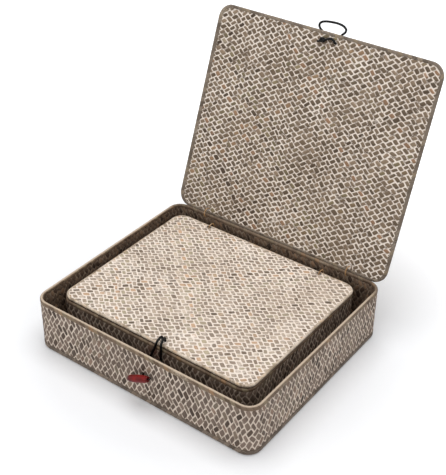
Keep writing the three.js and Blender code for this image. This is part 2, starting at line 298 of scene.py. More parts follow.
# Each point is along the lid's width, beyond its front edge, and above its outer face.
loop_routes = {
    "outer": [
        (-0.0025, -0.0122, 0.0011), (-0.0025, -0.0122, 0.0018), (-0.0029, -0.0118, 0.0039),
        (-0.0041, -0.0106, 0.0056), (-0.0058, -0.0089, 0.0063), (-0.0092, -0.0054, 0.0066),
        (-0.0130, -0.0020, 0.0066), (-0.0166, 0.0004, 0.0065), (-0.0190, 0.0033, 0.0065),
        (-0.0192, 0.0066, 0.0064), (-0.0169, 0.0091, 0.0064), (-0.0123, 0.0109, 0.0063),
        (-0.0062, 0.0120, 0.0063), (0.0004, 0.0126, 0.0063), (0.0070, 0.0128, 0.0063),
        (0.0133, 0.0121, 0.0064), (0.0183, 0.0104, 0.0065), (0.0214, 0.0076, 0.0065),
        (0.0211, 0.0041, 0.0065), (0.0184, 0.0010, 0.0066), (0.0161, -0.0022, 0.0066),
        (0.0156, -0.0056, 0.0065), (0.0161, -0.0082, 0.0062), (0.0165, -0.0102, 0.0054),
        (0.0167, -0.0117, 0.0038), (0.0168, -0.0122, 0.0018), (0.0168, -0.0122, 0.0011),
    ],
    "inner": [
        (0.0127, -0.0098, 0.0011), (0.0127, -0.0098, 0.0017), (0.0128, -0.0092, 0.0038),
        (0.0130, -0.0076, 0.0052), (0.0133, -0.0052, 0.0058), (0.0138, -0.0024, 0.0059),
        (0.0142, 0.0004, 0.0057), (0.0143, 0.0027, 0.0044), (0.0137, 0.0038, 0.0016),
        (0.0123, 0.0039, -0.0030), (0.0104, 0.0039, -0.0078), (0.0083, 0.0039, -0.0126),
        (0.0062, 0.0039, -0.0174), (0.0045, 0.0039, -0.0218), (0.0042, 0.0039, -0.0256),
        (0.0063, 0.0039, -0.0290), (0.0100, 0.0039, -0.0308), (0.0144, 0.0039, -0.0309),
        (0.0182, 0.0039, -0.0290), (0.0203, 0.0039, -0.0256), (0.0207, 0.0039, -0.0210),
        (0.0209, 0.0039, -0.0160), (0.0212, 0.0039, -0.0106), (0.0216, 0.0039, -0.0050),
        (0.0218, 0.0039, 0.0000), (0.0215, 0.0032, 0.0032), (0.0207, 0.0011, 0.0053),
        (0.0195, -0.0018, 0.0059), (0.0184, -0.0050, 0.0058), (0.0177, -0.0075, 0.0052),
        (0.0173, -0.0092, 0.0038), (0.0172, -0.0098, 0.0017), (0.0172, -0.0098, 0.0011),
    ],
}


def over_lid(box, route):
    """A route beside the lid's front edge, moved to where the lid is."""
    across, beyond, above = np.array(route).T
    return put_on_lid(box, np.stack([across, -lid_depth[box] - beyond, face_level + above], -1))


for box in BOXES:
    line = smooth_line(over_lid(box, loop_routes[box]), 5)
    loop, loop_length = make_cord(f"{box}_elastic_loop", line, elastic_diameter, 14)
    loop.data.materials.append(elastic_finish)
    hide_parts(f"{box}_loop")
    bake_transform(loop)

# The elastic's stitches and knots
# Inside the lid the elastic runs from hole to hole as one stitch.
# Its two ends are drawn up in a tight knot over the left hole and cut short.

stitch_routes = {
    "outer": [
        (-0.0025, -0.0122, 0.0008), (-0.0025, -0.0122, -0.0044), (-0.0022, -0.0120, -0.0066),
        (-0.0002, -0.0116, -0.0076), (0.0030, -0.0104, -0.0070), (0.0064, -0.0084, -0.0065),
        (0.0104, -0.0078, -0.0065), (0.0139, -0.0091, -0.0066), (0.0162, -0.0113, -0.0066),
        (0.0168, -0.0122, -0.0046), (0.0168, -0.0122, 0.0008),
    ],
    "inner": [
        (0.0127, -0.0098, 0.0008), (0.0127, -0.0098, -0.0046), (0.0132, -0.0098, -0.0070),
        (0.01495, -0.0098, -0.0084), (0.0167, -0.0098, -0.0070), (0.0172, -0.0098, -0.0046),
        (0.0172, -0.0098, 0.0008),
    ],
}
knot_half = (0.0047, 0.0039, 0.0030)
# The cut end's run away from the middle of the knot
tail_run = [(0, 0, 0), (-0.0034, 0.0022, 0), (-0.0070, 0.0032, 0.0008)]


def knotted(centre, half, diameter, ways):
    """A closed line tied in one overhand knot, as large as fits a round lump, along three cross directions."""
    t = np.linspace(0, 2 * math.pi, 73)
    shape = np.stack([np.sin(t) + 2 * np.sin(2 * t), np.cos(t) - 2 * np.cos(2 * t), -np.sin(3 * t)], -1)
    shape /= np.abs(shape).max(axis=0)
    return np.asarray(centre) + (shape * (np.array(half) - diameter / 2)) @ np.array(ways)


def finish_piece(piece, finishes, body, slot, *nodes):
    """Gives a piece its finishes and its body, and hides the solids that it stands for. Its slot is not used."""
    for finish in finishes:
        piece.data.materials.append(finish)
    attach(piece, body)
    if nodes:
        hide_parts(*nodes)


def black_cord(name, line, diameter, sides, body, *nodes):
    """A length of black elastic that moves with a body."""
    finish_piece(make_cord(name, line, diameter, sides)[0], [elastic_finish], body, "black_elastic", *nodes)


for box in BOXES:
    across, beyond, _ = stitch_routes[box][0]
    knot_middle = np.array((across, -lid_depth[box] - beyond, -knot_half[2]))
    stitch_line = smooth_line(over_lid(box, stitch_routes[box]), 5)
    knot_line = knotted(put_on_lid(box, knot_middle), knot_half, elastic_diameter, lid_frame(box)[0])
    tail_line = smooth_line(put_on_lid(box, knot_middle + tail_run), 4)
    black_cord(f"{box}_elastic_stitch", stitch_line, elastic_diameter, 14, f"{box}_lid", f"{box}_loop_knot")
    black_cord(f"{box}_elastic_knot", knot_line, elastic_diameter, 12, f"{box}_lid")
    black_cord(f"{box}_elastic_tail", tail_line, elastic_diameter * 0.9, 12, f"{box}_lid")

# The trays' outside mats
# Strips of dried seagrass are plaited two over, two under, on the slant, into one mat for base and walls.
# Whitewash is brushed over it and wiped off, so it stays between the strips.


class Plan:
    """A rounded rectangle seen from above: its middle, half its width and depth, and its corner radius."""

    def __init__(self, low, high, radius):
        self.low, self.high = np.array(low[:2], float), np.array(high[:2], float)
        self.middle, self.half = (self.low + self.high) / 2, (self.high - self.low) / 2
        self.radius = radius

    def round_length(self):
        return 4 * (self.half.sum() - 2 * self.radius) + 2 * math.pi * self.radius

    def on_edge(self, walked, inset, level):
        """Points at a walked length round the edge, set in from it, and at a level, with the outward way there.
        The walk starts in the middle of the front, and straights and corners take turns."""
        sides = self.half - self.radius
        quarter = math.pi / 2 * self.radius
        straights = [sides[0], 2 * sides[1], 2 * sides[0], 2 * sides[1], sides[0]]
        marks = np.cumsum([0] + [run for s in straights for run in (s, quarter)][:-1])
        walked = np.mod(walked, marks[-1])
        stage = np.clip(np.searchsorted(marks, walked, side="right") - 1, 0, 8)
        into = walked - marks[stage]
        in_corner = stage % 2 == 1
        angle = math.pi / 2 * (stage // 2 - 1) + in_corner * into / self.radius
        out_x, out_y = np.cos(angle), np.sin(angle)
        into = np.where(in_corner, 0, into)
        start_x = np.array([0, 1, 1, 1, 1, -1, -1, -1, -1])[stage] * sides[0]
        start_y = np.array([-1, -1, -1, 1, 1, 1, 1, -1, -1])[stage] * sides[1]
        x = self.middle[0] + start_x - out_y * into + out_x * (self.radius - inset)
        y = self.middle[1] + start_y + out_x * into + out_y * (self.radius - inset)
        return np.stack([x, y, level + 0 * x], -1), np.stack([out_x, out_y, 0 * x], -1)

    def draw_in(self, points, inset):
        """Points moved to the edge, set in, where they lie outside it."""
        radius = max(self.radius - inset, 1e-5)
        reach = self.half - inset
        near = np.clip(points - self.middle, -reach, reach)
        round_off = near - np.clip(near, radius - reach, reach - radius)
        far = np.linalg.norm(round_off, axis=1, keepdims=True)
        return self.middle + near - round_off * (1 - radius / np.maximum(far, radius))

    def depth_in(self, points):
        """How far inside the edge each point lies, less than zero outside."""
        into = np.abs(points - self.middle) - self.half + self.radius
        return self.radius - np.linalg.norm(np.maximum(into, 0), axis=1) - np.minimum(into.max(axis=1), 0)


# Grid lines over one visible stretch of a strip, from -1 to 1, and how high the strip stands there
along_lines = np.array([-1, -0.82, -0.4, 0, 0.4, 0.82, 1])
along_rise = np.array([0, 0.8, 0.98, 1, 0.98, 0.8, 0])
across_lines = np.array([-1, -0.68, 0, 0.68, 1])
across_rise = np.array([0, 0.88, 1, 0.88, 0])
# The crossing strips push each visible stretch askew by this slope, which makes it shorter and broader.
slope = 0.15
breadth = 1 / (1 - slope)
stretch_length = (3 - slope) / (1 - slope ** 2) - breadth
strip_gap = 0.0006
# How far a stretch's corners are cut back, and how much it leans, bows, tips and stands out, as shares
corner_cut = (0.06, 0.09)
lean_spread, bow_spread, tip_spread, lowest_stand = 0.05, 0.03, 0.1, 0.78
# How far the plait strays, and the length and the share of each wave in which it does
stray = 0.0009
stray_waves = ((0.110, 1.0), (0.062, 0.8), (0.034, 0.45))
flat_strip_count = 400


def strayed(u, v, length, draw):
    """Points of a plait moved off its true grid in soft waves, which close up round the given length."""
    off = [np.zeros_like(u), np.zeros_like(v)]
    for wave_length, share in stray_waves:
        for way in range(2):
            round_waves = 2 * np.pi * round(length / wave_length / (0.8 + 0.4 * draw.random())) / length
            up_waves = 2 * np.pi / wave_length * draw.uniform(-1.1, 1.1)
            off[way] += stray * share * np.sin(u * round_waves + v * up_waves + 6.3 * draw.random())
    return u + off[0], v + off[1]


class Mat:
    """The visible stretches of all the strips in a flat piece of mat, each one a grid of points in the flat.
    The strips run in two families, up to the right and down to the right, and cross two over, two under.
    Round the walls the mat closes to a ring and its stretches lie in rows."""

    def __init__(self, cell, low, high, seed, ring=None, slack=0.12):
        wide, tall = cell
        count = flat_strip_count
        if ring:
            count = round(ring / wide)
            wide = ring / count
        first = [math.floor(low[0] / wide - high[1] / tall) - 3, math.floor(low[0] / wide + low[1] / tall) - 3]
        last = [math.ceil(high[0] / wide - low[1] / tall) + 4, math.ceil(high[0] / wide + high[1] / tall) + 4]
        one, two = np.meshgrid(*(np.arange(a, b) for a, b in zip(first, last)), indexing="ij")
        turn = (one - two - 1) % 4 if ring else (one + two) % 4
        over = (turn == 0, turn == (1 if ring else 2))
        strip = np.concatenate([one[over[0]], two[over[1]]])
        start = np.concatenate([two[over[0]], one[over[1]]])
        family = np.repeat([0, 1], [crossing.sum() for crossing in over])
        draw = np.random.default_rng(seed)
        shift = slack * (draw.random((2, count)) - 0.5) * 2
        dye, tone = draw.random((2, count)), draw.normal(0, 1, (2, count))

        def edges(family, *numbers):
            """Where the strips' edges with these numbers lie, each shifted a little off its grid."""
            return [number + shift[family, number % count] for number in numbers]

        def on_sheet(across, along, family):
            """Steps across and along the strips, turned to steps along and up the sheet."""
            first_off, second_off = np.where(family == 0, across, along), np.where(family == 0, along, across)
            return (first_off + second_off) * wide / 2, (second_off - first_off) * tall / 2

        across, along = edges(family, strip, strip + 1), edges(1 - family, start, start + 2)
        u, v = on_sheet(sum(across) / 2, sum(along) / 2, family)
        spare = 0.6 * max(wide, tall)
        kept = (v > low[1] - spare) & (v < high[1] + spare)
        kept &= (u >= 0) & (u < ring) if ring else (u > low[0] - spare) & (u < high[0] + spare)
        u, v, family, strip, half_across, half_along = (a[kept] for a in (
            u, v, family, strip % count, (across[1] - across[0]) / 2, (along[1] - along[0]) / 2))
        each = (len(u), 1, 1)
        self.pitch = math.hypot(wide, tall) / 2
        self.width = wide * tall / (2 * self.pitch)
        space = strip_gap * (0.6 + 0.8 * draw.random(each)) / 2 / self.width
        s, t = np.meshgrid(along_lines, across_lines, indexing="ij")
        corner = (s * t) ** 2
        straight_along = (half_along.reshape(each) * stretch_length / 2 - space) * s * (1 - corner_cut[0] * corner)
        straight_across = (half_across.reshape(each) * breadth - space) * t * (1 - corner_cut[1] * corner)
        lean, bow = draw.normal(0, lean_spread, each), draw.normal(0, bow_spread, each)
        way = -slope if ring else slope
        along = straight_along + way * straight_across
        across = straight_across + way * straight_along + lean * along + bow * (s ** 2 - 0.5)
        u_off, v_off = on_sheet(across, along, family.reshape(each))
        self.u, self.v = strayed(u.reshape(each) + u_off, v.reshape(each) + v_off, ring or high[0] - low[0], draw)
        self.middle = np.stack([u, v], -1)
        tip = draw.normal(0, tip_spread, each) * s
        stand = lowest_stand + (1 - lowest_stand) * draw.random(each)
        self.rise = along_rise[:, None] * across_rise * (1 + tip) * stand
        self.s, self.t = np.broadcast_to(s, self.u.shape), np.broadcast_to(t, self.u.shape)
        self.dye, self.tone = dye[family, strip], tone[family, strip] + 0.7 * draw.normal(0, 1, len(u))
        self.strip = strip + family * count
        self.patch = draw.random(len(u))

    def keep(self, kept):
        """Drops the stretches that aren't kept."""
        for name in ("u", "v", "middle", "rise", "s", "t", "dye", "tone", "strip", "patch"):
            setattr(self, name, getattr(self, name)[kept])

    def values(self):
        """What the seagrass finish reads at each point."""
        dye, tone, patch, strip = (
            np.repeat(a, self.s[0].size) for a in (self.dye, self.tone, self.patch, self.strip))
        side, end = self.t.ravel(), self.s.ravel()
        lie = np.stack([end * self.pitch + patch * 0.05, side * self.width / 2, strip * 0.01], -1)
        return {"dye": dye, "tone": tone, "patch": patch, "lie": lie, "side": side, "end": end}


def quad_normals(points, faces):
    """One vector per quad, square to it and twice as long as its area is large."""
    p = points[faces]
    return np.cross(p[:, 2] - p[:, 0], p[:, 3] - p[:, 1])


def large_enough(points, faces, least_area):
    """The quads without those that were drawn in to nothing."""
    return faces[np.linalg.norm(quad_normals(points, faces), axis=1) > 2 * least_area]


def facing(faces, points, outward):
    """The same quads, all turned so that they face outward."""
    wrong = np.einsum("ij,ij->i", quad_normals(points, faces), outward[faces[:, 0]]) < 0
    faces[wrong] = faces[wrong][:, ::-1]
    return faces


def mat_faces(mat, points, outward):
    """The quads over all stretches of a mat."""
    rows, columns = len(along_lines), len(across_lines)
    one = grid_faces(rows, columns)
    faces = (np.arange(len(mat.u))[:, None, None] * rows * columns + one).reshape(-1, 4)
    return facing(large_enough(points, faces, least_stretch_face), points, outward)


def seagrass(name, dyes, chalk, dull_chalk, edged, chalked, painted_end_shade):
    """Dried seagrass strips: each has its own dye, fine fibres along it, painted shade at the ends where
    it dives under, and whitewash on its edges and in soft patches."""
    finish = Finish(name, Specular_IOR_Level=0.3)
    dye, tone, patch, side, end = (finish.layer(value) for value in ("dye", "tone", "patch", "side", "end"))
    fibres = finish.fibres("lie", (90, 1500, 1000))
    speck, cloud, blot = (finish.noise(scale, 2.0) for scale in (700.0, 28.0, 160.0))
    drift = finish.spread(finish.noise(14.0, 3.0), 0.35, 0.65)
    colour = finish.lit(finish.row(dye, dyes), finish.math("MULTIPLY_ADD", tone, 0.11, 1.0))
    colour = finish.lit(colour, finish.spread(fibres, 0.3, 0.7, 0.8, 1.2))
    # Painted shade: where a strip dives under the next, the ends of some of its stretches are darkened.
    end_shade_mask = finish.math("MULTIPLY", end, finish.math("SUBTRACT", patch, 0.35))
    colour = finish.blended(finish.spread(end_shade_mask, 0.12, 0.55, 0.0, painted_end_shade), colour, shade(52, 38, 26))
    near_side, near_end = (
        finish.math("POWER", finish.math("ABSOLUTE", finish.math("DIVIDE", a, reach)), 6.0)
        for a, reach in ((side, 0.87), (end, 0.9)))
    edge = finish.total(0.0, (near_side, 0.5), (near_end, 0.5), (blot, 0.5), (cloud, 0.3))
    edge = finish.spread(edge, 0.98 - edged * 0.3, 1.16 - edged * 0.3)
    film = finish.total(0.0, (cloud, 0.6), (blot, 0.5), (speck, 0.35), (patch, 0.25))
    film = finish.spread(film, 1.12 - 0.45 * chalked, 1.3 - 0.25 * chalked, 0.0, 0.85)
    whitewash = finish.blended(drift, dull_chalk, chalk)
    colour = finish.blended(finish.math("MAXIMUM", edge, film), colour, whitewash)
    roughness = finish.spread(fibres, 0.3, 0.7, 0.5, 0.85)
    return finish.wear(colour, roughness, finish.total(fibres, (speck, 0.4)), 0.00018)


def whitewash_bed(name, pale, dull, dark_share):
    """What shows between the strips: whitewash over the strips below, worn through to brown in spots."""
    finish = Finish(name, Specular_IOR_Level=0.2, Roughness=0.9)
    fine = finish.noise(1400.0, 2.0)
    worn = finish.spread(finish.noise(190.0, 3.0), 0.72 - dark_share * 0.4, 0.85 - dark_share * 0.35)
    colour = finish.blended(finish.math("MULTIPLY", fine, 0.25), finish.blended(worn, pale, dull), dull)
    return finish.wear(colour, relief=fine, deep=0.0002, strength=0.6)


skin_relief = 0.0007
# How far past the edge a stretch's middle may lie, in cells, and the way over which the strips sink to the edge
wall_overlap, flat_overlap = 0.55, 0.65
wall_end_slope, flat_end_slope = 0.0012, 0.0014
least_stretch_face, least_bed_face = 2e-8, 1e-8
# How deep the bed lies, as a share of the relief, how far it goes on past the strips, and its grid
bed_share, bed_spare = 0.85, 0.0008
wall_bed_step, wall_bed_rows, flat_bed_step = 0.004, 9, 0.009
tray_corner = {"outer": 0.020, "inner": 0.018}
foot_height = 0.0045
foot_reach = 0.0078
hem_depth = {"outer": 0.0062, "inner": 0.0044}
hem_lip = 0.0006
wall_cell = (0.0080, 0.0100)
flat_cell = (0.0073, 0.0078)

tray_plan, tray_floor, rim_level = {}, {}, {}
for box in BOXES:
    mat_low, mat_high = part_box(f"{box}_tray_mat")
    tray_plan[box] = Plan(mat_low, mat_high, tray_corner[box])
    tray_floor[box] = mat_low.z
    rim_level[box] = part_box(f"{box}_tray_lining")[1].z

wall_dyes = [
    (0.0, 79, 64, 53), (0.12, 110, 94, 82), (0.45, 122, 105, 93), (0.75, 133, 115, 102), (0.9, 130, 116, 99),
    (0.97, 142, 118, 102),
]
wall_chalk = shade(236, 220, 204)
wall_finish = seagrass(
    "seagrass_walls", wall_dyes, wall_chalk, shade(148, 131, 115), edged=0.55, chalked=0.1, painted_end_shade=0.6)
wall_bed = whitewash_bed("whitewash_between_wall_strips", wall_chalk, shade(116, 99, 84), 0.45)


def wall_bed_grid(plan, inset, low, high):
    """A plain sheet round the tray's walls, just under the strips, and the outward way at each point."""
    length = plan.round_length()
    stations = round(length / wall_bed_step)
    walked, level = np.meshgrid(
        np.arange(stations + 1) * length / stations, np.linspace(low, high, wall_bed_rows), indexing="ij")
    return *plan.on_edge(walked.ravel(), inset, level.ravel()), grid_faces(stations + 1, wall_bed_rows)


def flat_bed_grid(plan, inset, level):
    """A plain sheet over the plan, just under the strips."""
    reach = plan.half - inset
    counts = np.ceil(2 * reach / flat_bed_step).astype(int) + 1
    x, y = np.meshgrid(*(np.linspace(-r, r, c) for r, c in zip(reach, counts)), indexing="ij")
    flat = plan.draw_in(plan.middle + np.stack([x.ravel(), y.ravel()], -1), inset)
    points = np.column_stack([flat, np.full(len(flat), level)])
    return points, large_enough(points, grid_faces(*counts), least_bed_face)


def open_hole(points, faces, centre, radius, hold=3.0):
    """Strips pushed aside round a hole, with the faces over it left out."""
    off = points - centre
    far = np.linalg.norm(off, axis=1)
    near = far < hold * radius
    pushed = radius + far * (1 - 1 / hold)
    moved = points.copy()
    moved[near] = centre + off[near] * (pushed[near] / np.maximum(far[near], 1e-6))[:, None]
    return moved, faces[np.linalg.norm(points[faces].mean(1) - centre, axis=1) > radius]


def with_holes(sheets, holes, spare=0.0):
    """A mat and its bed with all their holes, which are wider in the strips by the given spare."""
    mat, points, faces, bed_points, bed_faces = sheets
    for centre, radius in holes:
        points, faces = open_hole(points, faces, centre, radius + spare)
        bed_points, bed_faces = open_hole(bed_points, bed_faces, centre, radius)
    return mat, points, faces, bed_points, bed_faces


def wall_strips(plan, face_inset, inward, low, high, cell, seed):
    """The strips on one side of the tray's walls, and the bed under them."""
    length = plan.round_length()
    mat = Mat(cell, (0, low), (length, high), seed, ring=length)
    past = wall_overlap * cell[1]
    mat.keep((mat.middle[:, 1] > low - past) & (mat.middle[:, 1] < high + past))
    level = np.clip(mat.v, low, high)
    end_drop = np.clip(np.minimum(level - low, high - level) / wall_end_slope, 0, 1)
    sign = -1 if inward else 1
    deep = face_inset + sign * skin_relief * (1 - mat.rise * end_drop)
    points, out = plan.on_edge(mat.u.ravel(), deep.ravel(), level.ravel())
    bed_points, bed_out, bed_faces = wall_bed_grid(
        plan, face_inset + sign * skin_relief * bed_share, low - bed_spare, high + bed_spare)
    faces, bed_faces = mat_faces(mat, points, out * sign), facing(bed_faces, bed_points, bed_out * sign)
    return mat, points, faces, bed_points, bed_faces


def flat_strips(plan, inset, level, upward, seed, slack=0.12):
    """The strips over a flat rounded rectangle, and the bed under them."""
    mat = Mat(flat_cell, plan.low + inset, plan.high - inset, seed, slack=slack)
    mat.keep(plan.depth_in(mat.middle) > inset - flat_overlap * flat_cell[0])
    flat = plan.draw_in(np.stack([mat.u.ravel(), mat.v.ravel()], -1), inset)
    end_drop = np.clip((plan.depth_in(flat) - inset) / flat_end_slope, 0, 1)
    sign = 1 if upward else -1
    points = np.column_stack([flat, level - sign * skin_relief * (1 - mat.rise.ravel() * end_drop)])
    bed_points, bed_faces = flat_bed_grid(plan, inset - bed_spare, level - sign * skin_relief * bed_share)
    out, bed_out = (np.full_like(sheet, (0, 0, sign)) for sheet in (points, bed_points))
    return mat, points, mat_faces(mat, points, out), bed_points, facing(bed_faces, bed_points, bed_out)


def plaited_piece(name, mat, points, faces, bed_points, bed_faces):
    """One piece of the strips and of the bed under them, which has the second finish."""
    values = {k: np.concatenate([v, np.zeros((len(bed_points), *v.shape[1:]))]) for k, v in mat.values().items()}
    points = np.vstack([points, bed_points])
    faces = [faces, bed_faces + len(points) - len(bed_points)]
    used = np.unique(np.concatenate([f.ravel() for f in faces]))
    number = np.full(len(points), -1)
    number[used] = np.arange(len(used))
    made = make_mesh(name, points[used], [number[f] for f in faces], {k: v[used] for k, v in values.items()})
    second = np.arange(len(made.data.polygons)) >= len(faces[0])
    made.data.polygons.foreach_set("material_index", second.astype(np.int32))
    return made


toggle_mouth = {
    joint["child"].split("_")[0]: np.array(joint["pos_m"])
    for joint in frame["joints"] if joint["name"].endswith("toggle_turn")}
cord_hole_radius = 0.0018

for box, seed in zip(BOXES, (11, 12)):
    plan, floor, rim = tray_plan[box], tray_floor[box], rim_level[box]
    sheets = wall_strips(plan, 0.0, False, floor + foot_reach, rim - hem_depth[box] + hem_lip, wall_cell, seed)
    walls = plaited_piece(f"{box}_tray_walls", *with_holes(sheets, [(toggle_mouth[box], cord_hole_radius)]))
    finish_piece(walls, [wall_finish, wall_bed], f"{box}_tray", "plaited_mat", f"{box}_tray_mat")
    base = plaited_piece(f"{box}_tray_base", *flat_strips(plan, foot_height, floor, False, seed + 20))
    finish_piece(base, [wall_finish, wall_bed], f"{box}_tray", "plaited_mat")

# The hinge ties
# Each lid hangs on two ties of twisted seagrass, which are pushed through the back wall and the lid.
# A tie goes once round both wires, and its ends meet and are glued inside the wall.

tie_turns = 11
# The strands are a little thicker than half the tie. Their ends meet at this many degrees, inside the wall.
tie_radius, tie_thickness, strand_share = 0.0066, 0.0018, 0.53
tie_seam = -112
tie_hole_radius = 0.0013
tie_places = {box: [] for box in BOXES}


def twisted_strand(name, centre, start_turn):
    """One of a tie's two strands, as it winds round the tie's ring about the hinge line."""
    around = np.radians(np.linspace(tie_seam, tie_seam + 360, 217))
    outward = np.stack([np.zeros_like(around), np.cos(around), np.sin(around)], -1)
    wind = tie_turns * around + start_turn
    radius = tie_thickness / 4
    line = centre + outward * (tie_radius + radius * np.cos(wind)[:, None])
    line[:, 0] += radius * np.sin(wind)
    return make_cord(name, line, tie_thickness * strand_share, 12)[0]


def tie_fibre():
    """Seagrass twisted to a tie: fibres along the strand, honey brown, paler in small patches."""
    finish = Finish("twisted_seagrass_tie", Specular_IOR_Level=0.3)
    fibres = finish.fibres("cover", (180, 9, 1), 4.0)
    pale_share = finish.math("MULTIPLY", finish.spread(finish.noise(500.0, 3.0), 0.52, 0.7), 0.6)
    colour = finish.row(fibres, [(0.3, 112, 80, 48), (0.5, 168, 126, 80), (0.7, 200, 162, 112)])
    colour = finish.blended(pale_share, colour, shade(224, 206, 182))
    return finish.wear(colour, finish.spread(fibres, 0, 1, 0.55, 0.85), fibres, 0.00015, 0.8)


tie_finish = tie_fibre()
for box in BOXES:
    for side in ("left", "right"):
        tie_low, tie_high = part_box(f"{box}_hinge_tie_{side}")
        centre = np.array((tie_low + tie_high) / 2)
        tie_places[box].append(centre)
        for strand, start_turn, nodes in (("first", 0, [f"{box}_hinge_tie_{side}"]), ("second", math.pi, [])):
            made = twisted_strand(f"{box}_tie_{side}_{strand}_strand", centre, start_turn)
            finish_piece(made, [tie_finish], f"{box}_tray", "hinge_tie", *nodes)

# The trays' linings
# A second mat of the same plait covers the floor and the insides of the walls, in darker colours that are painted
# shade.
# It is glued to the outside mat and turned over the rim.

wall_depth = 0.0044
floor_rise = 0.0044
lining_seam = 0.0004
lining_top = 0.0022
lining_cell = (0.0073, 0.0088)
# Painted shade: the lining's dyes, whitewash and bed are darker than the outside mat's.
lining_dyes = [
    (0.0, 62, 47, 37), (0.2, 94, 75, 61), (0.5, 110, 90, 74), (0.8, 124, 102, 82), (0.95, 142, 112, 88)]
lining_finish = seagrass(
    "seagrass_lining", lining_dyes, shade(168, 150, 132), shade(118, 99, 84), edged=0.4, chalked=0.0, painted_end_shade=0.7)
lining_bed = whitewash_bed("whitewash_between_lining_strips", shade(158, 140, 122), shade(72, 58, 48), 0.7)

for box, seed in zip(BOXES, (13, 14)):
    plan, floor = tray_plan[box], tray_floor[box] + floor_rise
    sheets = wall_strips(plan, wall_depth, True, floor - lining_seam, rim_level[box] - lining_top, lining_cell, seed)
    tie_drop = math.sqrt(tie_radius ** 2 - wall_depth ** 2)
    holes = [(toggle_mouth[box] + (0, wall_depth, 0), cord_hole_radius)]
    holes += [(hinge + (0, -wall_depth, -tie_drop), tie_hole_radius) for hinge in tie_places[box]]
    walls = plaited_piece(f"{box}_lining_walls", *with_holes(sheets, holes))
    finish_piece(walls, [lining_finish, lining_bed], f"{box}_tray", "plaited_lining", f"{box}_tray_lining")
    deck = plaited_piece(f"{box}_lining_floor", *flat_strips(plan, wall_depth + lining_seam, floor, True, seed + 20))
    finish_piece(deck, [lining_finish, lining_bed], f"{box}_tray", "plaited_lining")

# The rolled rims and feet of the trays
# At the rim the strips are folded over a wire and lie side by side on the slant, glued down outside.
# At the foot the walls' strips turn under the base in the same way.


band_step = 0.0016


def swept_band(plan, profile, wrap_pitch, slant, ridge, seed, left_spare=0.0, spare_from=1.0):
    """A band round a plan, whose closed profile is in insets and levels. Slanted wraps run across it, each with a
    low ridge. The profile's walked length is kept with the wraps' number for the finish. On the left, what lies
    further in than a given inset reaches further in still."""
    length = plan.round_length()
    wraps, stations = round(length / wrap_pitch), round(length / band_step)
    profile = np.array([*profile, profile[0]])
    walked_over = np.concatenate([[0], np.cumsum(np.linalg.norm(np.diff(profile, axis=0), axis=1))])
    tangent = np.gradient(profile, axis=0)
    tangent[0] = tangent[-1] = profile[1] - profile[-2]
    tangent /= np.linalg.norm(tangent, axis=1)[:, None]
    away = np.stack([-tangent[:, 1], tangent[:, 0]], -1)
    walked, place = np.meshgrid(
        np.arange(stations + 1) * length / stations, np.arange(len(profile)), indexing="ij")
    walked, place = walked.ravel(), place.ravel()
    wrap = walked / length * wraps + slant * walked_over[place] / wrap_pitch
    number, into = np.floor(wrap), np.mod(wrap, 1)
    stand = 0.5 + 0.5 * np.random.default_rng(seed).random(wraps)
    lift = ridge * (stand[np.mod(number, wraps).astype(int)] * np.sin(np.pi * into) ** 0.5 - 1)
    leftward = np.clip(-plan.on_edge(walked, 0, 0)[1][:, 0], 0, 1) * (profile[place, 0] > spare_from)
    inset, level = (profile[place] + away[place] * lift[:, None]).T
    points, _ = plan.on_edge(walked, inset + left_spare * leftward, level)
    lie = np.stack([walked_over[place], into * wrap_pitch, number * 0.01], -1)
    return points, [grid_faces(stations + 1, len(profile))], {"wrap": wrap, "lie": lie}


def folded_seagrass(name, dyes, chalk, chalked, seam_dark=0.5, painted_top_highlight=None):
    """Strips folded side by side over an edge, each with its own dye, parted by thin dark seams.
    A rim may be given a painted highlight on its upward faces, fading towards the back, and a painted shadow at the
    back."""
    finish = Finish(name, Specular_IOR_Level=0.3)
    wrap = finish.layer("wrap")
    number = finish.math("FLOOR", wrap)
    dye, tone = (
        finish.node("TexWhiteNoise", {"W": finish.math("ADD", number, shift)}, noise_dimensions="1D")[0]
        for shift in (0.0, 0.37))
    fibres = finish.fibres("lie", (120, 1500, 1000))
    cloud, blot = finish.noise(45.0, 3.0), finish.noise(420.0, 3.0)
    light = finish.math(
        "MULTIPLY", finish.spread(tone, 0, 1, 0.88, 1.12), finish.spread(fibres, 0.3, 0.7, 0.82, 1.18))
    colour = finish.lit(finish.row(dye, dyes), light)
    off_middle = finish.math("ABSOLUTE", finish.math("SUBTRACT", finish.math("FRACT", wrap), 0.5))
    seam = finish.spread(finish.total(off_middle, (blot, 0.2)), 0.52, 0.6)
    colour = finish.blended(finish.math("MULTIPLY", seam, seam_dark), colour, shade(60, 46, 34))
    film = finish.total(0.0, (cloud, 0.7), (blot, 0.5))
    film = finish.spread(film, 0.72 - 0.35 * chalked, 0.9 - 0.25 * chalked, 0.0, 0.9)
    colour = finish.blended(film, colour, chalk)
    if painted_top_highlight:
        # Painted highlight: faces turned upward are blended towards the pale colour, less towards the back.
        upward = finish.node("SeparateXYZ", {0: finish.node("NewGeometry")["Normal"]})[2]
        to_back = finish.node("SeparateXYZ", {0: finish.place})[1]
        highlight_fade_to_back = finish.spread(to_back, 0.11, 0.146, 1.0, 0.15)
        pale_share = finish.math("MULTIPLY", finish.spread(upward, 0.55, 0.95, 0.0, 0.8), highlight_fade_to_back)
        colour = finish.blended(pale_share, colour, painted_top_highlight)
        # Painted shadow: the back of the rim, in the open lid's shade, is darkened.
        colour = finish.blended(finish.spread(to_back, 0.11, 0.142, 0.0, 0.4), colour, shade(66, 50, 38))
    roughness = finish.spread(fibres, 0.3, 0.7, 0.55, 0.85)
    return finish.wear(colour, roughness, finish.total(fibres, (seam, -1.5)), 0.0002)


def bent(centre, radius, first, last, count):
    """Points of an arc in insets and levels, with its angles in degrees from the outward side upward."""
    angles = np.radians(np.linspace(first, last, count))
    return [(centre[0] - radius * math.cos(a), centre[1] + radius * math.sin(a)) for a in angles]


hem_thickness, hem_tuck = 0.0010, 0.0002
